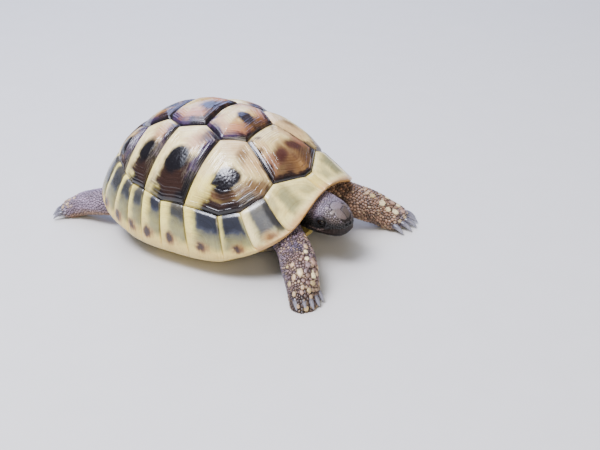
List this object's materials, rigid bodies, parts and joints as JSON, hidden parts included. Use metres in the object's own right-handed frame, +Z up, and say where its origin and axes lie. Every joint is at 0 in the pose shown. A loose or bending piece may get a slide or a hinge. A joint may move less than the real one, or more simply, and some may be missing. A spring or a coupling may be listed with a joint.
{
  "type": "tortoise",
  "caption": "Life-size walking Hermann's tortoise with a patterned domed shell, one forelimb planted, the other reaching ahead and one hind limb trailing.",
  "frame": {"origin": "on the floor, under the middle of the model's box in plan", "axes": "+X the way the animal faces, +Y its left, +Z up"},
  "size_m": [0.2138, 0.1202, 0.0784],
  "materials": {
    "carapace_horn": "glossy ringed horn, straw yellow with brown-black patches",
    "rim_horn": "glossy pale straw horn with grey-brown patches",
    "plastron_horn": "satin straw horn with two black bands",
    "skin": "dry scaled skin, brown with cream scales",
    "head_skin": "smooth dark scaled skin",
    "claw_horn": "smooth blue-grey horn",
    "eye": "wet black"
  },
  "bodies": {
    "root": {"vertebral_1": "carapace_horn", "vertebral_2": "carapace_horn", "vertebral_3": "carapace_horn", "vertebral_4": "carapace_horn", "vertebral_5": "carapace_horn", "costal_left_1": "carapace_horn", "costal_left_2": "carapace_horn", "costal_left_3": "carapace_horn", "costal_left_4": "carapace_horn", "marginal_left_1": "rim_horn", "marginal_left_2": "rim_horn", "marginal_left_3": "rim_horn", "marginal_left_4": "rim_horn", "marginal_left_5": "rim_horn", "marginal_left_6": "rim_horn", "marginal_left_7": "rim_horn", "marginal_left_8": "rim_horn", "marginal_left_9": "rim_horn", "marginal_left_10": "rim_horn", "marginal_left_11": "rim_horn", "supracaudal_left": "rim_horn", "costal_right_1": "carapace_horn", "costal_right_2": "carapace_horn", "costal_right_3": "carapace_horn", "costal_right_4": "carapace_horn", "marginal_right_1": "rim_horn", "marginal_right_2": "rim_horn", "marginal_right_3": "rim_horn", "marginal_right_4": "rim_horn", "marginal_right_5": "rim_horn", "marginal_right_6": "rim_horn", "marginal_right_7": "rim_horn", "marginal_right_8": "rim_horn", "marginal_right_9": "rim_horn", "marginal_right_10": "rim_horn", "marginal_right_11": "rim_horn", "supracaudal_right": "rim_horn", "nuchal": "rim_horn", "plastron": "plastron_horn", "trunk": "skin", "front_right_leg": "skin", "front_right_foot": "skin", "front_left_leg": "skin", "front_left_foot": "skin", "hind_right_leg": "skin", "hind_right_foot": "skin", "hind_left_leg": "skin", "hind_left_foot": "skin", "head": "head_skin", "lower_jaw": "head_skin", "eye_left": "eye", "eye_right": "eye", "neck": "skin", "tail": "skin"}
  },
  "joints": []
}
